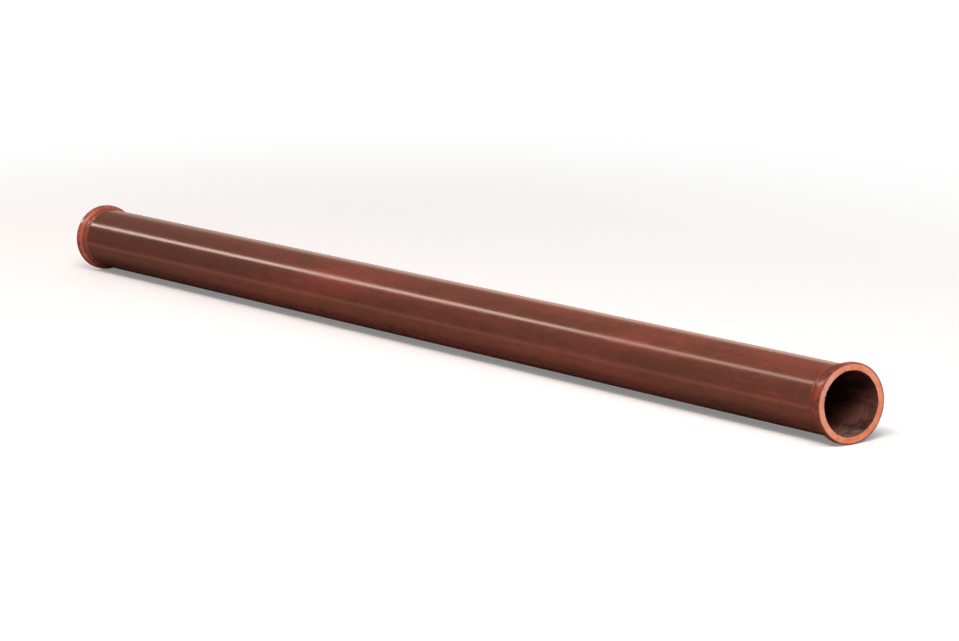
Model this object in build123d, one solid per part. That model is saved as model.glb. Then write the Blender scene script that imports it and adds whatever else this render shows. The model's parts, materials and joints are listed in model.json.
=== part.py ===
from build123d import *
from math import radians, tan
import os

# A steel delivery pipe for pumped concrete: a round tube with a turned coupling collar
# butt-welded to each end. It lies on its collars with its axis along X, and the origin
# is on the floor under the middle of the pipe.

# Driving dimensions, in millimetres and degrees
PIPE_LENGTH = 3000.0        # end face to end face
BORE_DIAMETER = 126.0       # clear way, the same through the tube and both collars
TUBE_WALL = 7.0
COLLAR_LENGTH = 35.0        # end face to the butt joint with the tube
RIM_HEIGHT = 8.5            # how far the coupling rim stands over the tube
RIM_WIDTH = 14.0            # end face to the edge where the shoulder starts
NECK_HEIGHT = 2.0           # how far the neck behind the rim stands over the tube
SHOULDER_SLANT = 30.0       # lean of the shoulder that a coupling clamps against
FACE_CHAMFER = 1.5          # outer edge of the end face
MOUTH_CHAMFER = 1.0         # inner edge of the end face
RIM_EDGE_CHAMFER = 2.0      # edge between the rim and its shoulder
BEAD_WIDTH = 10.0           # weld bead, centred on the butt joint
BEAD_CROWN = 0.6            # how far the bead stands over the neck
ROOT_BEVEL = 1.0            # inner edges at the butt joint, left open as a fine groove

# Radii from the pipe's axis
bore_radius = BORE_DIAMETER / 2
tube_radius = bore_radius + TUBE_WALL
neck_radius = tube_radius + NECK_HEIGHT
rim_radius = tube_radius + RIM_HEIGHT


def corner(section, point):
    """The corner of a flat section that lies at a point."""
    return section.vertices().sort_by_distance(point)[0]


def collar_section():
    """Half section of a collar: X runs inwards from the end face, Y is the radius."""
    shoulder_height = rim_radius - neck_radius
    shoulder_foot_x = RIM_WIDTH + shoulder_height * tan(radians(SHOULDER_SLANT))
    mouth = (0, bore_radius)
    face_edge = (0, rim_radius)
    rim_edge = (RIM_WIDTH, rim_radius)
    shoulder_foot = (shoulder_foot_x, neck_radius)
    bead_foot = (COLLAR_LENGTH - BEAD_WIDTH / 2, neck_radius)
    bead_crown = (COLLAR_LENGTH, neck_radius + BEAD_CROWN)
    bead_toe = (COLLAR_LENGTH + BEAD_WIDTH / 2, tube_radius)
    joint_outside = (COLLAR_LENGTH, tube_radius)
    joint_inside = (COLLAR_LENGTH, bore_radius)

    outline = Polyline(bead_toe, joint_outside, joint_inside, mouth, face_edge, rim_edge,
                       shoulder_foot, bead_foot)
    outline += ThreePointArc(bead_foot, bead_crown, bead_toe)
    section = make_face(outline)

    section = chamfer(corner(section, mouth), MOUTH_CHAMFER)
    section = chamfer(corner(section, face_edge), FACE_CHAMFER)
    section = chamfer(corner(section, rim_edge), RIM_EDGE_CHAMFER)
    return chamfer(corner(section, joint_inside), ROOT_BEVEL)


def make_collar():
    """One collar with its end face at the origin, reaching inwards along +X."""
    return revolve(collar_section(), axis=Axis.X)


def make_tube():
    """The tube between the two butt joints, centred on the origin along X."""
    half_length = PIPE_LENGTH / 2 - COLLAR_LENGTH
    wall = Plane.YZ * (Circle(tube_radius) - Circle(bore_radius))
    tube = extrude(wall, half_length, both=True)
    inner_edges = tube.edges().filter_by(GeomType.CIRCLE).filter_by(
        lambda edge: abs(edge.radius - bore_radius) < 0.001)
    return chamfer(inner_edges, ROOT_BEVEL)


collar = make_collar()
axis_height = Pos(0, 0, rim_radius)
pieces = {
    "tube": axis_height * make_tube(),
    "collar_front": axis_height * Pos(PIPE_LENGTH / 2, 0, 0) * Rot(0, 0, 180) * collar,
    "collar_rear": axis_height * Pos(-PIPE_LENGTH / 2, 0, 0) * collar,
}

os.makedirs("parts", exist_ok=True)
for name, piece in pieces.items():
    piece.label = name
    export_step(piece, f"parts/{name}.step")
    size = piece.bounding_box().size
    print(f"{name}: {size.X:.1f} x {size.Y:.1f} x {size.Z:.1f} mm, {piece.volume / 1000:.1f} cm3")
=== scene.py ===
import bpy
import bmesh
import json
from math import atan2, cos, exp, hypot, pi, radians, sin
from mathutils import Matrix, Vector, noise


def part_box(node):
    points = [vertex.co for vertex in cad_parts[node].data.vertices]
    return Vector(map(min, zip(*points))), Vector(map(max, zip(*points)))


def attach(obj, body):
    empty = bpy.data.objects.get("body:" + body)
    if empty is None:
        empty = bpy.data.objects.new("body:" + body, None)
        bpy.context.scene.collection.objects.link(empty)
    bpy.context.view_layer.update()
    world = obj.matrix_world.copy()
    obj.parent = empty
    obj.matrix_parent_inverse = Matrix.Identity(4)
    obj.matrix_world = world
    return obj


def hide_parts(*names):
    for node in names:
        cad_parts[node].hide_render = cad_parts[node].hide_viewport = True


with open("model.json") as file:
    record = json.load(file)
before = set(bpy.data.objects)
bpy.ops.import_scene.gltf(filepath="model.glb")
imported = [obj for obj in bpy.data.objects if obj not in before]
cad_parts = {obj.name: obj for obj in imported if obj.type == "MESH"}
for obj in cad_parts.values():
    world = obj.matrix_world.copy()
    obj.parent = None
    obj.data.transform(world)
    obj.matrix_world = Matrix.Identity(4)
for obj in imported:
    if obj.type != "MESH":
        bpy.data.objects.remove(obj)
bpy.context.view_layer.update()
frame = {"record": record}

# Sizes in metres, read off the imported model. The pipe's axis runs along X.
tube_low, tube_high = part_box("tube")
collar_low, collar_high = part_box("collar_front")
bore_mount = next(mount for mount in frame["record"]["mounts"] if mount["name"] == "bore")
FACE_X = collar_high.x                              # the front end face, and the rear one at -FACE_X
JOINT_X = tube_high.x                               # butt joint between the tube and the front collar
TUBE_RADIUS = (tube_high.y - tube_low.y) / 2
RIM_RADIUS = (collar_high.y - collar_low.y) / 2
AXIS_Z = RIM_RADIUS                                 # the pipe lies on its two rims
BORE_RADIUS = bore_mount["dims"]["r_mm"] / 1000
COLLAR_LENGTH = FACE_X - JOINT_X
BEAD_TOE = FACE_X - collar_low.x                    # where the weld bead ends on the tube, from the face

# The collar's turned section behind its rim
RIM_WIDTH = 0.014
SHOULDER_FOOT = 0.01775                             # where the slanted shoulder meets the neck, from the face
NECK_RADIUS = TUBE_RADIUS + 0.002
BEAD_FOOT = 2 * COLLAR_LENGTH - BEAD_TOE            # where the weld bead starts on the neck, from the face

# Groove in the bore at each butt joint
GROOVE_DEPTH = 0.0010

# Roundings of the corners: size and number of steps
JOINT_ROUNDING = 0.0010, 2
MOUTH_ROUNDING = 0.0010, 4
FACE_ROUNDING = 0.0015, 5
RIM_ROUNDING = 0.0020, 6
NECK_ROUNDING = 0.0022, 5
GROOVE_ROUNDING = 0.0003, 2

# How finely the sections are cut up and turned
COLLAR_RUN = 0.0022                                 # a longer straight run of the section is cut up
TUBE_RUN = 0.05
TUBE_STEPS = 240
SECTORS = 12                                        # one sector is turned, and the others repeat it
SHARP_TURN = radians(38)                            # an edge that turns by less is shaded smooth

# Weld bead
RIPPLE_COUNT = 96
STEPS_PER_RIPPLE = 5
RIPPLE_DEPTH = 0.00035
RIPPLE_SLANT = 0.9                                  # how far a ripple's middle is ahead of its ends, in ripples
RIPPLE_DRIFT = 0.5                                  # how far a ripple strays from its even place, in ripples
CROWN_HEIGHT = 0.0016                               # over the straight line from the bead's foot to its toe
CROWN_UNEVENNESS = 0.18                             # share by which the crown's height varies round the pipe
BEAD_WANDER = 0.0006                                # how far the bead's edges stray lengthwise

# How near a face's middle has to be to a surface to be finished like it
NEAR_BORE = 0.0005
NEAR_END = 0.001
NEAR_OUTSIDE = 0.001
FACING_OUT = 0.75                                   # least share of an end face's normal along the axis

# Dents on the rims from handling: turn round the rim in degrees, distance from the face, width, depth
NICK_REACH = 0.004                                  # how far under the rim's radius a dent can be felt
FRONT_NICKS = [(28, 0.0005, 0.0022, 0.0005), (-73, 0.0, 0.0016, 0.0004), (118, 0.001, 0.003, 0.0004),
               (-141, 0.0, 0.0020, 0.0005), (52, 0.014, 0.0018, 0.0004), (-34, 0.014, 0.0022, 0.0004)]
REAR_NICKS = [(-62, 0.0, 0.0020, 0.0005), (33, 0.0, 0.0024, 0.0004), (147, 0.001, 0.0018, 0.0004),
              (-118, 0.014, 0.0020, 0.0005), (71, 0.014, 0.0016, 0.0004)]

# Camera, from the collar outlines in the photo
CAMERA_SPOT = Vector((7.679, -4.738, 1.613))
CAMERA_AIM = Vector((0.21, 0.0, AXIS_Z))
CAMERA_LENS = 158.0
CAMERA_ROLL = radians(-2.46)

# Lamps and floor
SOFTBOX_SPOT, SOFTBOX_AIM, SOFTBOX_SIZE = (5.4, -3.2, 6.2), (1.0, 0, AXIS_Z), (4.0, 4.0)
STRIP_Y, STRIP_Z, STRIP_WIDTH = -1.70, 2.553, 0.46
FLOOR_SIZE = 45.0                                   # from its middle to its edges
FLOOR_FADE = 0.5, 2.6                               # it fades out between these distances from the pipe

# Colours of the studio, in linear light: what gloss sees round the pipe and in the floor, then the floor itself
DIM_WALLS = (0.10, 0.084, 0.076, 1)
CEILING = (0.27, 0.17, 0.13, 1)
LOW_BACKDROP = (1.28, 0.90, 0.76, 1)
# Painted shadow under the pipe and a strip of painted light along each side, on the floor as gloss alone sees it
FLOOR_PAINTED_SHADOW = (0.060, 0.034, 0.028, 1)
FLOOR_BESIDE_PIPE = (0.28, 0.16, 0.11, 1)
FLOOR_PAINTED_LIGHT_STRIP = (0.72, 0.42, 0.33, 1)
FLOOR_BEYOND = (0.10, 0.075, 0.065, 1)
FLOOR_FILL = (0.46, 0.44, 0.43, 1)
FLOOR_TO_CAMERA = (0.83, 0.83, 0.83, 1)
FLOOR_LIFT = 0.20                                   # glow that keeps the floor's shadow pale to the camera
WHITE = (1, 1, 1, 1)

# Colours of the paint, in linear light
TUBE_COAT = {"Body": (0.148, 0.040, 0.026, 1), "Thin": (0.200, 0.044, 0.031, 1),
             "Thick": (0.112, 0.037, 0.024, 1)}
# Darkens the tube towards its rear end
REAR_END_DARKER = (0.088, 0.032, 0.022, 1)
RUBBED_COAT = (0.24, 0.085, 0.06, 1)
DARK_FLECK = (0.045, 0.020, 0.016, 1)
FRONT_COAT = {"Body": (0.185, 0.042, 0.026, 1), "Thin": (0.29, 0.058, 0.034, 1),
              "Thick": (0.115, 0.032, 0.020, 1)}
FRONT_NECK = (0.17, 0.038, 0.024, 1)
FRONT_SHOULDER = (0.50, 0.13, 0.055, 1)
REAR_COAT = {"Body": (0.37, 0.085, 0.052, 1), "Thin": (0.50, 0.130, 0.072, 1),
             "Thick": (0.26, 0.062, 0.040, 1)}
REAR_NECK = (0.245, 0.056, 0.040, 1)
REAR_SHOULDER = (0.45, 0.140, 0.100, 1)
POOLED_PAINT = (0.050, 0.014, 0.010, 1)
OVERSPRAY = (0.45, 0.11, 0.05, 1)
CHIPPED_RIM = (0.075, 0.045, 0.038, 1)
FACE_COAT = {"Body": (0.87, 0.260, 0.144, 1), "Thin": (0.90, 0.35, 0.222, 1),
             "Thick": (0.83, 0.238, 0.110, 1)}
CHALKY_PRIMER = (0.78, 0.42, 0.30, 1)
SCUFFED_PRIMER = (0.88, 0.58, 0.46, 1)
OUTER_LAP = (0.22, 0.042, 0.026, 1)
INNER_LAP = (0.16, 0.050, 0.036, 1)
CHIPPED_FACE = (0.17, 0.065, 0.050, 1)
BORE_COAT = {"Body": (0.105, 0.037, 0.030, 1), "Thin": (0.160, 0.060, 0.048, 1),
             "Thick": (0.052, 0.021, 0.018, 1)}
CEMENT_DUST = (0.25, 0.20, 0.15, 1)
# Darkens the groove at each butt joint in the bore
DARK_GROOVE = (0.045, 0.020, 0.017, 1)
GLOSS_TINT = (1.0, 0.82, 0.74, 1.0)                 # of what the paint mirrors when seen face on


# ---------------------------------------------------------------- nodes

def set_input(tree, socket, value):
    if isinstance(value, bpy.types.NodeSocket):
        tree.links.new(value, socket)
    else:
        socket.default_value = value


def put(tree, kind, label, settings=None, **inputs):
    """Adds a node. Inputs are given by their names with _ for a space, or i0, i1 for a numbered one."""
    node = tree.nodes.new(kind)
    node.name = node.label = label
    for key, value in (settings or {}).items():
        setattr(node, key, value)
    for key, value in inputs.items():
        numbered = key[0] == "i" and key[1:].isdigit()
        set_input(tree, node.inputs[int(key[1:]) if numbered else key.replace("_", " ")], value)
    return node


def number(tree, label, operation, first, second, third=0.0):
    """Arithmetic on two values, or on three for MULTIPLY_ADD."""
    settings = {"operation": operation}
    return put(tree, "ShaderNodeMath", label, settings, i0=first, i1=second, i2=third).outputs[0]


def ramp(tree, label, value, low, high, start=0.0, end=1.0, curve="LINEAR"):
    """Goes from start to end as the value goes from low to high, and stays put beyond them."""
    return put(tree, "ShaderNodeMapRange", label, {"interpolation_type": curve}, Value=value, From_Min=low,
               From_Max=high, To_Min=start, To_Max=end).outputs[0]


def band(tree, label, value, low, high):
    """0 below low and 1 above high, or the other way round where low is the larger."""
    return ramp(tree, label, value, low, high, curve="SMOOTHSTEP")


def blend(tree, label, share, first, second):
    """The first colour at share 0 and the second at share 1."""
    return put(tree, "ShaderNodeMix", label, {"data_type": "RGBA"}, i0=share, i6=first, i7=second).outputs[2]


def mean(tree, label, share, first, second):
    """The first value at share 0 and the second at share 1."""
    return put(tree, "ShaderNodeMix", label, i0=share, i2=first, i3=second).outputs[0]


def stretched(tree, label, place, scale, **inputs):
    return put(tree, "ShaderNodeMapping", label, Vector=place, Scale=scale, **inputs).outputs[0]


def clouds(tree, label, place, scale, **inputs):
    return put(tree, "ShaderNodeTexNoise", label, Vector=place, Scale=scale, **inputs).outputs[0]


def split_place(tree, label, place):
    return put(tree, "ShaderNodeSeparateXYZ", label, Vector=place).outputs


# ---------------------------------------------------------------- camera, floor and light

def set_up_camera():
    camera = bpy.data.objects.new("camera", bpy.data.cameras.new("camera"))
    camera.data.lens = CAMERA_LENS
    camera.data.sensor_width = 36.0
    camera.location = CAMERA_SPOT
    turn = (CAMERA_AIM - CAMERA_SPOT).to_track_quat("-Z", "Y")
    camera.rotation_euler = (turn.to_matrix() @ Matrix.Rotation(CAMERA_ROLL, 3, "Z")).to_euler()
    bpy.context.scene.collection.objects.link(camera)
    bpy.context.scene.camera = camera
    bpy.context.scene.view_settings.view_transform = "Standard"


def add_area_light(name, spot, aim, size, watts, colour=(1, 1, 1)):
    lamp = bpy.data.lights.new(name, "AREA")
    lamp.shape = "RECTANGLE"
    lamp.size, lamp.size_y = size
    lamp.energy = watts
    lamp.color = colour
    light = bpy.data.objects.new(name, lamp)
    light.location = spot
    light.rotation_euler = (Vector(aim) - Vector(spot)).to_track_quat("-Z", "Y").to_euler()
    bpy.context.scene.collection.objects.link(light)
    return light


def add_side_strip(name, middle_x, length, watts, colour):
    """A long lamp over the camera's side of the pipe, whose mirror image is a light line along the tube."""
    spot, aim = (middle_x, STRIP_Y, STRIP_Z), (middle_x, 0, AXIS_Z)
    add_area_light(name, spot, aim, (length, STRIP_WIDTH), watts, colour)


def light_the_studio():
    """The camera sees a white backdrop. Gloss sees a warm backdrop low behind the pipe, a ceiling and dim
    walls, and the fill light grows from the horizon to overhead."""
    world = bpy.data.worlds.new("studio")
    bpy.context.scene.world = world
    world.use_nodes = True
    tree = world.node_tree
    tree.nodes.clear()
    way = put(tree, "ShaderNodeTexCoord", "direction").outputs["Generated"]
    along, away, up = split_place(tree, "direction split", way)
    behind = band(tree, "behind", away, -0.05, 0.15)
    placed = number(tree, "low and behind", "MULTIPLY", band(tree, "low down", up, 0.34, 0.22), behind)
    dimming = ramp(tree, "dims towards the rear end", along, -0.88, -0.82, 0.62, 1.0, "SMOOTHSTEP")
    backdrop = number(tree, "backdrop share", "MULTIPLY", placed, dimming)
    raised = number(tree, "ceiling comes lower behind", "MULTIPLY_ADD", behind, 0.16, up)
    high = band(tree, "high up", raised, 0.36, 0.50)
    walls = blend(tree, "walls and ceiling", high, DIM_WALLS, CEILING)
    mirrored = blend(tree, "seen in gloss", backdrop, walls, LOW_BACKDROP)
    fill = ramp(tree, "fill", up, 0.0, 1.0, 0.28, 0.38)
    ray = put(tree, "ShaderNodeLightPath", "ray").outputs
    around = blend(tree, "gloss or fill", ray["Is Glossy Ray"], fill, mirrored)
    room = put(tree, "ShaderNodeBackground", "room", Color=around)
    white = put(tree, "ShaderNodeBackground", "white backdrop", Color=WHITE)
    either = put(tree, "ShaderNodeMixShader", "backdrop or room", i0=ray["Is Camera Ray"],
                 i1=room.outputs[0], i2=white.outputs[0])
    put(tree, "ShaderNodeOutputWorld", "world", Surface=either.outputs[0])

    # Two lamps in one place, one of them unseen in gloss, so that the paint mirrors only part of their light
    for name, watts, shows_in_gloss in (("front softbox", 190, True), ("front fill", 355, False)):
        softbox = add_area_light(name, SOFTBOX_SPOT, SOFTBOX_AIM, SOFTBOX_SIZE, watts)
        softbox.visible_glossy = shows_in_gloss
    add_side_strip("rear side strip", middle_x=-6.8, length=6.4, watts=70, colour=(1.0, 0.80, 0.71))
    add_side_strip("front side strip", middle_x=1.2, length=9.6, watts=66, colour=(1.0, 0.78, 0.68))


def floor_in_gloss(tree, side):
    """Painted shadow under the pipe, then paler, one strip of painted light along each side, and dim beyond, as
    gloss sees the floor.
    """
    seen = FLOOR_PAINTED_SHADOW
    for label, near_side, far_side, colour in (("beside the pipe", 0.05, 0.10, FLOOR_BESIDE_PIPE),
                                               ("painted light strip", 0.17, 0.22, FLOOR_PAINTED_LIGHT_STRIP),
                                               ("beyond the strip", 0.25, 0.33, FLOOR_BEYOND)):
        reached = band(tree, label + " reached", side, near_side, far_side)
        seen = blend(tree, label, reached, seen, colour)
    return seen


def lay_floor():
    """Pale and matt round the pipe, where it takes the shadow, and running out into the white backdrop."""
    mesh = bpy.data.meshes.new("floor")
    sheet = bmesh.new()
    bmesh.ops.create_grid(sheet, x_segments=1, y_segments=1, size=FLOOR_SIZE)
    sheet.to_mesh(mesh)
    sheet.free()
    floor = bpy.data.objects.new("floor", mesh)
    bpy.context.scene.collection.objects.link(floor)

    finish = bpy.data.materials.new("pale studio floor")
    finish.use_nodes = True
    tree = finish.node_tree
    tree.nodes.clear()
    place = put(tree, "ShaderNodeTexCoord", "place").outputs["Object"]
    x, y, _ = split_place(tree, "place split", place)
    along = number(tree, "along", "ABSOLUTE", x, 0.0)
    past = number(tree, "past the end", "SUBTRACT", along, FACE_X)
    past_end = number(tree, "past either end", "MAXIMUM", past, 0.0)
    aside = put(tree, "ShaderNodeCombineXYZ", "aside", X=past_end, Y=y)
    reach = put(tree, "ShaderNodeVectorMath", "reach", {"operation": "LENGTH"}, i0=aside.outputs[0])
    far = band(tree, "far off", reach.outputs["Value"], *FLOOR_FADE)
    ray = put(tree, "ShaderNodeLightPath", "ray").outputs
    seen_far = number(tree, "seen far off", "MULTIPLY", far, ray["Is Camera Ray"])
    side = number(tree, "to one side", "ABSOLUTE", y, 0.0)
    mirrored = blend(tree, "fill or gloss", ray["Is Glossy Ray"], FLOOR_FILL, floor_in_gloss(tree, side))
    shade = blend(tree, "pale to the camera", ray["Is Camera Ray"], mirrored, FLOOR_TO_CAMERA)
    matt = put(tree, "ShaderNodeBsdfDiffuse", "matt floor", Color=shade)
    lift = number(tree, "lift", "MULTIPLY", ray["Is Camera Ray"], FLOOR_LIFT)
    glow = put(tree, "ShaderNodeEmission", "pale lift", Color=WHITE, Strength=lift)
    near = put(tree, "ShaderNodeAddShader", "near floor", i0=matt.outputs[0], i1=glow.outputs[0])
    white = put(tree, "ShaderNodeEmission", "backdrop white", Color=WHITE, Strength=1.0)
    either = put(tree, "ShaderNodeMixShader", "floor or backdrop", i0=seen_far,
                 i1=near.outputs[0], i2=white.outputs[0])
    put(tree, "ShaderNodeOutputMaterial", "floor", Surface=either.outputs[0])
    mesh.materials.append(finish)


# ---------------------------------------------------------------- effects that several finishes share

def effect(name, inputs, outputs):
    """Starts a node group. Each input has a name, a kind and a value, and each output a name and a kind."""
    group = bpy.data.node_groups.new(name, "ShaderNodeTree")
    for label, kind, value in inputs:
        socket = group.interface.new_socket(label, in_out="INPUT", socket_type="NodeSocket" + kind)
        if value is not None:
            socket.default_value = value
    for label, kind in outputs:
        group.interface.new_socket(label, in_out="OUTPUT", socket_type="NodeSocket" + kind)
    return group, put(group, "NodeGroupInput", "in").outputs


def close(group, **outputs):
    put(group, "NodeGroupOutput", "out", **outputs)
    return group


def scale_for(group, label, size):
    """The noise scale whose patches are about this many metres wide."""
    return number(group, label, "DIVIDE", 1.0, size)


def effect_place_on_pipe():
    """Distance from the nearer end face, distance from the axis, and height over the axis, all in metres."""
    group, given = effect("place on pipe", [("Vector", "Vector", None)],
                          [("From End", "Float"), ("From Axis", "Float"), ("Over Axis", "Float")])
    x, y, z = split_place(group, "split", given["Vector"])
    end = number(group, "from end", "SUBTRACT", FACE_X, number(group, "along", "ABSOLUTE", x, 0.0))
    over = number(group, "over axis", "SUBTRACT", z, AXIS_Z)
    across = put(group, "ShaderNodeCombineXYZ", "across", X=y, Y=over)
    radius = put(group, "ShaderNodeVectorMath", "from axis", {"operation": "LENGTH"}, i0=across.outputs[0])
    return close(group, From_End=end, From_Axis=radius.outputs["Value"], Over_Axis=over)


def effect_uneven_coat():
    """A brushed-out film of paint: broad red and brown patches, lengthwise streaks and a faint speckle."""
    group, given = effect(
        "uneven coat",
        [("Vector", "Vector", None), ("Body", "Color", (0.2, 0.05, 0.03, 1)),
         ("Thin", "Color", (0.3, 0.05, 0.03, 1)), ("Thick", "Color", (0.1, 0.03, 0.02, 1)),
         ("Patch Size", "Float", 0.3), ("Length", "Float", 0.7), ("Patch Shift", "Vector", (0.0, 0.0, 0.0)),
         ("Mottle Size", "Float", 0.02), ("Mottle Share", "Float", 0.35), ("Streak Width", "Float", 0.006),
         ("Streak Share", "Float", 0.2)],
        [("Color", "Color"), ("Thickness", "Float")])
    place = given["Vector"]
    length = number(group, "patch length", "DIVIDE", given["Patch Size"], given["Length"])
    shape = put(group, "ShaderNodeCombineXYZ", "patch shape", X=length, Y=1.6, Z=1.6).outputs[0]
    drawn_out = stretched(group, "drawn out", place, shape, Location=given["Patch Shift"])
    patches = clouds(group, "patches", drawn_out, scale_for(group, "patch scale", given["Patch Size"]),
                     Detail=4.0, Roughness=0.55, Distortion=0.4)
    streaks = clouds(group, "streaks", stretched(group, "drawn out far", place, (0.02, 1.0, 1.0)),
                     scale_for(group, "streak scale", given["Streak Width"]), Detail=3.0, Roughness=0.6)
    mottles = clouds(group, "mottles", stretched(group, "drawn out a little", place, (0.3, 1.0, 1.0)),
                     scale_for(group, "mottle scale", given["Mottle Size"]),
                     Detail=3.0, Roughness=0.6, Distortion=0.8)
    cloudy = mean(group, "patches and mottles", given["Mottle Share"], patches, mottles)
    both = mean(group, "patches and streaks", given["Streak Share"], cloudy, streaks)
    thin = band(group, "thin places", both, 0.49, 0.58)
    thick = band(group, "thick places", both, 0.50, 0.42)
    lighter = blend(group, "thin paint", thin, given["Body"], given["Thin"])
    darker = blend(group, "thick paint", thick, lighter, given["Thick"])
    speckle = clouds(group, "speckle", place, 900.0, Detail=2.0)
    grain = ramp(group, "speckle range", speckle, 0.3, 0.7, 0.93, 1.07)
    tint = put(group, "ShaderNodeMix", "speckled", {"data_type": "RGBA", "blend_type": "MULTIPLY"}, i0=1.0,
               i6=darker, i7=grain)
    return close(group, Color=tint.outputs[2], Thickness=both)


def effect_wet_surface():
    """Relief of a glossy coat: orange peel, and slow sags that make a long highlight waver."""
    group, given = effect(
        "wet surface",
        [("Vector", "Vector", None), ("Peel Size", "Float", 0.003), ("Peel Depth", "Float", 0.00001),
         ("Sag Size", "Float", 0.05), ("Sag Depth", "Float", 0.0001)],
        [("Normal", "Vector")])
    sag = clouds(group, "sags", stretched(group, "drawn out", given["Vector"], (0.35, 1.0, 1.0)),
                 scale_for(group, "sag scale", given["Sag Size"]), Detail=2.0)
    peel = clouds(group, "orange peel", given["Vector"], scale_for(group, "peel scale", given["Peel Size"]),
                  Detail=2.0, Roughness=0.45)
    sag_height = number(group, "sag height", "MULTIPLY", sag, given["Sag Depth"])
    height = number(group, "height", "MULTIPLY_ADD", peel, given["Peel Depth"], sag_height)
    relief = put(group, "ShaderNodeBump", "relief", Strength=1.0, Distance=1.0, Height=height)
    return close(group, Normal=relief.outputs[0])


def effect_rub_marks():
    """Where handling has dulled or scraped the surface: patches that break up into short strokes."""
    group, given = effect(
        "rub marks",
        [("Vector", "Vector", None), ("Size", "Float", 0.02), ("Share", "Float", 0.2),
         ("Softness", "Float", 0.08)],
        [("Mask", "Float")])
    broad = clouds(group, "rubbed patches", given["Vector"], scale_for(group, "scale", given["Size"]),
                   Detail=6.0, Roughness=0.7, Distortion=0.6)
    edge = ramp(group, "share to level", given["Share"], 0.0, 1.0, 0.80, 0.34)
    top = number(group, "soft edge", "ADD", edge, given["Softness"])
    return close(group, Mask=band(group, "mask", broad, edge, top))


def effect_chips():
    """Small flakes knocked out of the paint, crowded where Where is 1 and absent where it is 0."""
    group, given = effect(
        "chips",
        [("Vector", "Vector", None), ("Size", "Float", 0.003), ("Where", "Float", 1.0),
         ("Share", "Float", 0.3)],
        [("Mask", "Float")])
    ragged = clouds(group, "ragged edge", given["Vector"], scale_for(group, "scale", given["Size"]),
                    Detail=5.0, Roughness=0.65)
    clusters = clouds(group, "clusters", given["Vector"], 45.0, Detail=1.0)
    near = number(group, "cluster and flake", "MULTIPLY", ragged, clusters)
    reach = number(group, "reach", "MULTIPLY", given["Where"], given["Share"])
    level = ramp(group, "level", reach, 0.0, 1.0, 0.50, 0.12)
    rim = number(group, "flake edge", "ADD", level, 0.012)
    return close(group, Mask=ramp(group, "mask", near, level, rim))


def effect_dust():
    """Pale cement dust that settles where Level is high and thins out in patches."""
    group, given = effect(
        "dust",
        [("Vector", "Vector", None), ("Level", "Float", 0.5), ("Size", "Float", 0.02)],
        [("Mask", "Float")])
    cloud = clouds(group, "dust patches", given["Vector"], scale_for(group, "scale", given["Size"]),
                   Detail=7.0, Roughness=0.7)
    low = ramp(group, "cover", given["Level"], 0.0, 1.0, 0.75, 0.25)
    high = number(group, "full cover", "ADD", low, 0.25)
    return close(group, Mask=band(group, "mask", cloud, low, high))


def make_effects():
    made = (effect_place_on_pipe(), effect_uneven_coat(), effect_wet_surface(), effect_rub_marks(),
            effect_chips(), effect_dust())
    return {group.name: group for group in made}


# ---------------------------------------------------------------- finishes

def use(tree, effects, name, label, place, **inputs):
    """Puts an effect in a finish. Its inputs are given by their names with _ for a space."""
    return put(tree, "ShaderNodeGroup", label, {"node_tree": effects[name]}, Vector=place, **inputs)


def share_of(tree, label, mask, share):
    return number(tree, label, "MULTIPLY", mask, share)


def start_finish(name, specular=0.5):
    finish = bpy.data.materials.new(name)
    finish.use_nodes = True
    tree = finish.node_tree
    tree.nodes.clear()
    skin = put(tree, "ShaderNodeBsdfPrincipled", "skin", Specular_IOR_Level=specular,
               Specular_Tint=GLOSS_TINT, IOR=1.5)
    put(tree, "ShaderNodeOutputMaterial", "surface", Surface=skin.outputs[0])
    place = put(tree, "ShaderNodeTexCoord", "place").outputs["Object"]
    return finish, tree, skin.inputs, place


def finish_tube_paint(effects):
    finish, tree, skin, place = start_finish("tube paint, glossy red-brown")
    # The broad patches are slid along the pipe to where they agree best with the photo
    coat = use(tree, effects, "uneven coat", "coat", place, **TUBE_COAT, Patch_Size=0.12, Length=0.75,
               Patch_Shift=(0.27, 0.0, 0.0), Mottle_Size=0.018, Mottle_Share=0.30, Streak_Width=0.007,
               Streak_Share=0.16)
    # Darker and browner towards the rear end
    towards_rear = band(tree, "towards the rear", split_place(tree, "spot", place)["X"], -0.3, -1.3)
    colour = blend(tree, "darker towards the rear", share_of(tree, "rear darkening share", towards_rear, 0.55),
                   coat.outputs["Color"], REAR_END_DARKER)
    lengthwise = stretched(tree, "lengthwise", place, (0.12, 1.0, 1.0))
    rub = use(tree, effects, "rub marks", "handling rub", lengthwise, Size=0.012, Share=0.22,
              Softness=0.10).outputs[0]
    colour = blend(tree, "rubbed coat", share_of(tree, "light rub", rub, 0.35), colour, RUBBED_COAT)
    little = stretched(tree, "a little lengthwise", place, (0.45, 1.0, 1.0))
    flecks = use(tree, effects, "chips", "small flecks", little, Size=0.006, Where=1.0, Share=0.22).outputs[0]
    colour = blend(tree, "flecked", share_of(tree, "fleck share", flecks, 0.45), colour, DARK_FLECK)
    set_input(tree, skin["Base Color"], colour)
    gloss = ramp(tree, "gloss", coat.outputs["Thickness"], 0.35, 0.65, 0.13, 0.24)
    rough = number(tree, "dulled", "ADD", gloss, share_of(tree, "rub dulling", rub, 0.18))
    set_input(tree, skin["Roughness"], rough)
    relief = use(tree, effects, "wet surface", "relief", place, Peel_Size=0.0032, Peel_Depth=0.000008,
                 Sag_Size=0.060, Sag_Depth=0.00007)
    set_input(tree, skin["Normal"], relief.outputs[0])
    return finish


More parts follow.
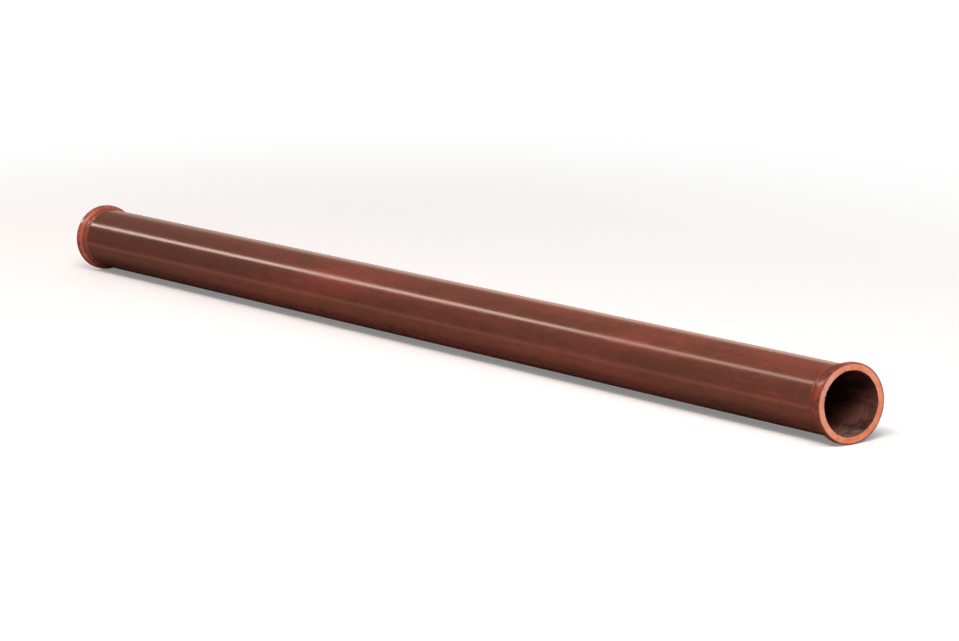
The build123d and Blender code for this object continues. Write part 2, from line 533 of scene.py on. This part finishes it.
def finish_collar_paint(effects, name, coat_colours, neck, shoulder, shoulder_share):
    finish, tree, skin, place = start_finish(name)
    spot = use(tree, effects, "place on pipe", "spot", place).outputs
    end, axis = spot["From End"], spot["From Axis"]
    coat = use(tree, effects, "uneven coat", "coat", place, **coat_colours, Patch_Size=0.05, Length=0.05,
               Mottle_Size=0.012, Mottle_Share=0.4, Streak_Width=0.005, Streak_Share=0.15)
    # The neck is coated evenly, the slanted shoulder kept more of the orange primer, and paint pooled in the
    # bead's foot
    on_neck = band(tree, "on neck", end, SHOULDER_FOOT - 0.0005, SHOULDER_FOOT + 0.0035)
    colour = blend(tree, "neck", share_of(tree, "neck share", on_neck, 0.8), coat.outputs["Color"], neck)
    on_shoulder = number(tree, "on shoulder", "MULTIPLY",
                         band(tree, "past rim", end, RIM_WIDTH - 0.0006, RIM_WIDTH + 0.0008),
                         band(tree, "over root", axis, NECK_RADIUS + 0.0004, NECK_RADIUS + 0.0022))
    on_shoulder = share_of(tree, "shoulder share", on_shoulder, shoulder_share)
    colour = blend(tree, "shoulder", on_shoulder, colour, shoulder)
    pooled = number(tree, "pooled", "MULTIPLY",
                    band(tree, "bead foot in", end, BEAD_FOOT - 0.003, BEAD_FOOT - 0.0004),
                    band(tree, "bead foot out", end, BEAD_FOOT + 0.0018, BEAD_FOOT + 0.0002))
    colour = blend(tree, "pooled paint", share_of(tree, "pool share", pooled, 0.5), colour, POOLED_PAINT)
    # A little orange overspray wraps over the edge of the end face
    ragged = use(tree, effects, "rub marks", "ragged overspray", place, Size=0.010, Share=0.40, Softness=0.2)
    wrap = share_of(tree, "wrap share", band(tree, "face edge", end, 0.0010, 0.0001), ragged.outputs[0])
    colour = blend(tree, "overspray", wrap, colour, OVERSPRAY)
    edge = number(tree, "rim edge", "MULTIPLY",
                  band(tree, "near rim radius", axis, RIM_RADIUS - 0.0016, RIM_RADIUS - 0.0006),
                  band(tree, "near rim edge", end, RIM_WIDTH - 0.004, RIM_WIDTH - 0.0015))
    chips = use(tree, effects, "chips", "edge chips", place, Size=0.004, Where=edge, Share=0.55).outputs[0]
    set_input(tree, skin["Base Color"], blend(tree, "chipped", chips, colour, CHIPPED_RIM))
    rub = use(tree, effects, "rub marks", "clamp rub", place, Size=0.014, Share=0.35, Softness=0.12).outputs[0]
    set_input(tree, skin["Roughness"], ramp(tree, "gloss", rub, 0.0, 1.0, 0.20, 0.38))
    relief = use(tree, effects, "wet surface", "relief", place, Peel_Size=0.0028, Peel_Depth=0.000012,
                 Sag_Size=0.030, Sag_Depth=0.00006)
    dent = put(tree, "ShaderNodeBump", "chip depth", {"invert": True}, Strength=1.0, Distance=0.00015,
               Height=chips, Normal=relief.outputs[0])
    set_input(tree, skin["Normal"], dent.outputs[0])
    return finish


def finish_end_face(effects):
    finish, tree, skin, place = start_finish("end face primer, salmon orange")
    axis = use(tree, effects, "place on pipe", "spot", place).outputs["From Axis"]
    coat = use(tree, effects, "uneven coat", "coat", place, **FACE_COAT, Patch_Size=0.060, Length=0.060,
               Mottle_Size=0.010, Mottle_Share=0.3, Streak_Width=0.009, Streak_Share=0.1)
    # The primer is thinner and chalkier towards one side, where it dried first
    leaned = put(tree, "ShaderNodeVectorMath", "towards one side", {"operation": "DOT_PRODUCT"}, i0=place,
                 i1=(0.0, -0.85, 0.53))
    chalky = ramp(tree, "chalky side", leaned.outputs["Value"], 0.050, 0.125, 0.0, 0.45, "SMOOTHSTEP")
    colour = blend(tree, "chalky primer", chalky, coat.outputs["Color"], CHALKY_PRIMER)
    scuff = use(tree, effects, "rub marks", "scuffs", place, Size=0.016, Share=0.30, Softness=0.12).outputs[0]
    colour = blend(tree, "scuffed", share_of(tree, "scuff share", scuff, 0.5), colour, SCUFFED_PRIMER)
    # Dark paint from the outside and the bore laps a little way over the face's two edges
    wander = clouds(tree, "wandering edge", place, 60.0, Detail=5.0, Roughness=0.6)
    moved = number(tree, "wandering radius", "MULTIPLY_ADD", wander, 0.0030, axis)
    outer = band(tree, "outer lap", moved, RIM_RADIUS - 0.0022, RIM_RADIUS - 0.0007)
    inner = band(tree, "inner lap", moved, BORE_RADIUS + 0.0028, BORE_RADIUS + 0.0019)
    colour = blend(tree, "outer edge", share_of(tree, "outer share", outer, 0.9), colour, OUTER_LAP)
    colour = blend(tree, "inner edge", share_of(tree, "inner share", inner, 0.85), colour, INNER_LAP)
    edge = number(tree, "both edges", "MAXIMUM",
                  band(tree, "outer zone", axis, RIM_RADIUS - 0.0045, RIM_RADIUS - 0.001),
                  band(tree, "inner zone", axis, BORE_RADIUS + 0.0035, BORE_RADIUS + 0.001))
    where = number(tree, "all over, more at edges", "MAXIMUM", edge, 0.35)
    chips = use(tree, effects, "chips", "chips", place, Size=0.0045, Where=where, Share=0.62).outputs[0]
    set_input(tree, skin["Base Color"], blend(tree, "chipped", chips, colour, CHIPPED_FACE))
    set_input(tree, skin["Roughness"], ramp(tree, "gloss", scuff, 0.0, 1.0, 0.36, 0.60))
    # Turning marks left by the lathe show through the primer
    centred = put(tree, "ShaderNodeMapping", "centred", Vector=place, Location=(0, 0, -AXIS_Z)).outputs[0]
    turned = put(tree, "ShaderNodeTexWave", "turning marks", {"wave_type": "RINGS", "rings_direction": "X"},
                 Vector=centred, Scale=160.0, Distortion=0.6, Detail=1.0).outputs["Fac"]
    marks = put(tree, "ShaderNodeBump", "turned relief", Strength=1.0, Distance=0.00002, Height=turned)
    dent = put(tree, "ShaderNodeBump", "chip depth", {"invert": True}, Strength=1.0, Distance=0.0002,
               Height=chips, Normal=marks.outputs[0])
    set_input(tree, skin["Normal"], dent.outputs[0])
    return finish


def finish_bore(effects):
    finish, tree, skin, place = start_finish("bore, thin brown primer over mill scale", specular=0.35)
    spot = use(tree, effects, "place on pipe", "spot", place).outputs
    end = spot["From End"]
    coat = use(tree, effects, "uneven coat", "coat", place, **BORE_COAT, Patch_Size=0.06, Length=0.12,
               Mottle_Size=0.014, Mottle_Share=0.4, Streak_Width=0.006, Streak_Share=0.10)
    # Cement dust lies low in the bore, and thickest near the mouth
    low = ramp(tree, "low in the bore", spot["Over Axis"], -0.45 * BORE_RADIUS, -0.97 * BORE_RADIUS, 0.0, 0.80)
    mouth = ramp(tree, "near the mouth", end, 0.30, 0.02, 0.30, 1.0)
    level = number(tree, "dust level", "MULTIPLY", low, mouth)
    dust = use(tree, effects, "dust", "settled dust", place, Level=level, Size=0.018).outputs[0]
    dust_share = share_of(tree, "dust share", dust, 0.5)
    colour = blend(tree, "dusty", dust_share, coat.outputs["Color"], CEMENT_DUST)
    # The groove at the butt joint is darkened and dulled
    groove_dark = number(tree, "darkened joint", "MULTIPLY",
                   band(tree, "joint from the mouth", end, COLLAR_LENGTH - 0.0018, COLLAR_LENGTH - 0.0009),
                   band(tree, "joint from the tube", end, COLLAR_LENGTH + 0.0020, COLLAR_LENGTH + 0.0011))
    colour = blend(tree, "darkened groove", share_of(tree, "groove darkening share", groove_dark, 0.7), colour, DARK_GROOVE)
    set_input(tree, skin["Base Color"], colour)
    gloss = ramp(tree, "gloss", coat.outputs["Thickness"], 0.35, 0.65, 0.38, 0.58)
    dusty = number(tree, "dust or dark groove", "MAXIMUM", dust, groove_dark)
    set_input(tree, skin["Roughness"], number(tree, "dusty gloss", "MAXIMUM", gloss, dusty))
    relief = use(tree, effects, "wet surface", "scale relief", place, Peel_Size=0.006, Peel_Depth=0.00012,
                 Sag_Size=0.05, Sag_Depth=0.0001)
    set_input(tree, skin["Normal"], relief.outputs[0])
    return finish


# ---------------------------------------------------------------- the turned pieces

def draw_section(points):
    """A closed string of section points, each an X and a distance from the axis, as a bmesh of edges."""
    section = bmesh.new()
    corners = [section.verts.new((x, 0.0, AXIS_Z + radius)) for x, radius in points]
    for first, second in zip(corners, corners[1:] + corners[:1]):
        section.edges.new((first, second))
    return section


def round_corner(section, point, size, steps):
    spot = Vector((point[0], 0.0, AXIS_Z + point[1]))
    corner = min(section.verts, key=lambda vert: (vert.co - spot).length)
    bmesh.ops.bevel(section, geom=[corner], offset=size, offset_type="OFFSET", segments=steps, profile=0.5,
                    affect="VERTICES", material=-1, clamp_overlap=False)


def divide_runs(section, longest):
    """Cuts long runs into short ones, so that a flat stays flat right up to its rounded edge."""
    for edge in list(section.edges):
        cuts = int(edge.calc_length() / longest)
        if cuts:
            bmesh.ops.subdivide_edges(section, edges=[edge], cuts=cuts)


def turn_on_axis(section, steps):
    """Turns the section through one sector, then repeats the sector. steps is a multiple of SECTORS."""
    centre, axis, still = (0, 0, AXIS_Z), (1, 0, 0), (0, 0, 0)
    bmesh.ops.spin(section, geom=section.verts[:] + section.edges[:], cent=centre, axis=axis, dvec=still,
                   angle=2 * pi / SECTORS, steps=steps // SECTORS, use_merge=False, use_duplicate=False)
    bmesh.ops.spin(section, geom=section.verts[:] + section.edges[:] + section.faces[:], cent=centre, axis=axis,
                   dvec=still, angle=2 * pi * (SECTORS - 1) / SECTORS, steps=SECTORS - 1, use_merge=False,
                   use_duplicate=True)
    bmesh.ops.remove_doubles(section, verts=section.verts[:], dist=1e-6)
    bmesh.ops.recalc_face_normals(section, faces=section.faces[:])


def sort_parts(parts, key):
    for index, part in enumerate(sorted(parts, key=key)):
        part.index = index
    parts.sort()


def settle_order(shape):
    """Sorts corners by place, then edges and faces by corner. The mesh operators leave them in no fixed order."""
    sort_parts(shape.verts, lambda vert: vert.co[:])
    sort_parts(shape.edges, lambda edge: sorted(vert.index for vert in edge.verts))
    sort_parts(shape.faces, lambda face: sorted(vert.index for vert in face.verts))


def from_axis(point):
    return hypot(point.y, point.z - AXIS_Z)


def angle_round(point):
    return atan2(point.y, point.z - AXIS_Z)


def set_radius(vert, radius):
    share = radius / from_axis(vert.co)
    vert.co.y *= share
    vert.co.z = AXIS_Z + (vert.co.z - AXIS_Z) * share


def lay_bead(shape, seed):
    """Raises the strip between the bead's foot and toe into a crown of overlapping weld ripples."""
    for vert in shape.verts:
        end = FACE_X - abs(vert.co.x)
        share = (end - BEAD_FOOT) / (BEAD_TOE - BEAD_FOOT)
        line = NECK_RADIUS + (TUBE_RADIUS - NECK_RADIUS) * share
        if not -0.001 < share < 1.001 or abs(from_axis(vert.co) - line) > 0.0001:
            continue                                    # not on the strip
        turn = angle_round(vert.co)
        round_point = Vector((cos(turn), sin(turn), seed))
        crown = max(0.0, 4 * share * (1 - share))       # 0 at the strip's edges and 1 along its middle
        uneven = 1.0 + CROWN_UNEVENNESS * noise.noise(round_point * 7.0)
        drift = RIPPLE_DRIFT * noise.noise(round_point * 3.0)
        phase = turn / (2 * pi) * RIPPLE_COUNT + RIPPLE_SLANT * crown + drift
        # Rounded backs with narrow valleys between them, fading towards the strip's edges
        ripple = RIPPLE_DEPTH * (abs(sin(pi * phase)) ** 0.8 - 0.6) * crown ** 0.5
        set_radius(vert, line + CROWN_HEIGHT * crown * uneven + ripple)
        edge_share = 0.35 + 0.65 * abs(2 * share - 1)
        vert.co.x += BEAD_WANDER * noise.noise(round_point * 9.0 + Vector((0, 0, 5))) * edge_share


def nick_rim(shape, nicks):
    """Sinks each dent into the rim with a soft edge."""
    for vert in shape.verts:
        radius = from_axis(vert.co)
        if radius < RIM_RADIUS - NICK_REACH:
            continue
        end = FACE_X - abs(vert.co.x)
        sink = 0.0
        for turn, spot, width, depth in nicks:
            along = (angle_round(vert.co) - radians(turn) + pi) % (2 * pi) - pi
            away = hypot(along * RIM_RADIUS, end - spot) / width
            sink += depth * exp(-away * away)
        if sink:
            set_radius(vert, radius - sink)


def finish_piece(name, shape, materials, pick):
    settle_order(shape)
    for face in shape.faces:
        face.smooth = True
        face.material_index = pick(face.calc_center_median(), face.normal)
    for edge in shape.edges:
        edge.smooth = edge.calc_face_angle(0.0) < SHARP_TURN
    mesh = bpy.data.meshes.new(name)
    shape.to_mesh(mesh)
    shape.free()
    for material in materials:
        mesh.materials.append(material)
    piece = bpy.data.objects.new(name, mesh)
    bpy.context.scene.collection.objects.link(piece)
    return piece


def make_collar(name, side, nicks, materials):
    """A collar at the front end for side 1, or the rear one for side -1."""
    def at(end, radius):
        return side * (FACE_X - end), radius

    joint_inside, mouth, face_edge = at(COLLAR_LENGTH, BORE_RADIUS), at(0, BORE_RADIUS), at(0, RIM_RADIUS)
    rim_edge, shoulder_foot = at(RIM_WIDTH, RIM_RADIUS), at(SHOULDER_FOOT, NECK_RADIUS)
    section = draw_section([at(BEAD_TOE, TUBE_RADIUS), at(COLLAR_LENGTH, TUBE_RADIUS), joint_inside, mouth,
                            face_edge, rim_edge, shoulder_foot, at(BEAD_FOOT, NECK_RADIUS)])
    for point, rounding in ((joint_inside, JOINT_ROUNDING), (mouth, MOUTH_ROUNDING), (face_edge, FACE_ROUNDING),
                            (rim_edge, RIM_ROUNDING), (shoulder_foot, NECK_ROUNDING)):
        round_corner(section, point, *rounding)
    divide_runs(section, COLLAR_RUN)
    turn_on_axis(section, RIPPLE_COUNT * STEPS_PER_RIPPLE)
    lay_bead(section, 2.0 + side)
    nick_rim(section, nicks)
    bmesh.ops.recalc_face_normals(section, faces=section.faces[:])

    def pick(centre, normal):
        """0 for the outside, 1 for the end face and 2 for the bore."""
        if from_axis(centre) < BORE_RADIUS + NEAR_BORE:
            return 2
        return 1 if normal.x * side > FACING_OUT and FACE_X - abs(centre.x) < NEAR_END else 0

    collar = finish_piece(name, section, materials, pick)
    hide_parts(name.replace("_turned", ""))
    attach(collar, "root")


def make_tube(materials):
    groove_edges = (JOINT_X - GROOVE_DEPTH, BORE_RADIUS), (GROOVE_DEPTH - JOINT_X, BORE_RADIUS)
    groove_floor = BORE_RADIUS + GROOVE_DEPTH
    section = draw_section([(-JOINT_X, TUBE_RADIUS), (JOINT_X, TUBE_RADIUS), (JOINT_X, groove_floor),
                            *groove_edges, (-JOINT_X, groove_floor)])
    for point in groove_edges:
        round_corner(section, point, *GROOVE_ROUNDING)
    divide_runs(section, TUBE_RUN)
    turn_on_axis(section, TUBE_STEPS)

    def pick(centre, normal):
        """0 for the outside and 1 for the bore and the ends."""
        return 0 if from_axis(centre) > TUBE_RADIUS - NEAR_OUTSIDE else 1

    tube = finish_piece("tube_drawn", section, materials, pick)
    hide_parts("tube")
    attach(tube, "root")


set_up_camera()
light_the_studio()
lay_floor()

effects = make_effects()
tube_paint = finish_tube_paint(effects)
front_paint = finish_collar_paint(effects, "front collar paint, red-brown", FRONT_COAT, FRONT_NECK,
                                  FRONT_SHOULDER, shoulder_share=0.5)
rear_paint = finish_collar_paint(effects, "rear collar paint, orange-red", REAR_COAT, REAR_NECK,
                                 REAR_SHOULDER, shoulder_share=0.6)
end_face = finish_end_face(effects)
bore = finish_bore(effects)

make_tube([tube_paint, bore])
make_collar("collar_front_turned", 1, FRONT_NICKS, [front_paint, end_face, bore])
make_collar("collar_rear_turned", -1, REAR_NICKS, [rear_paint, end_face, bore])
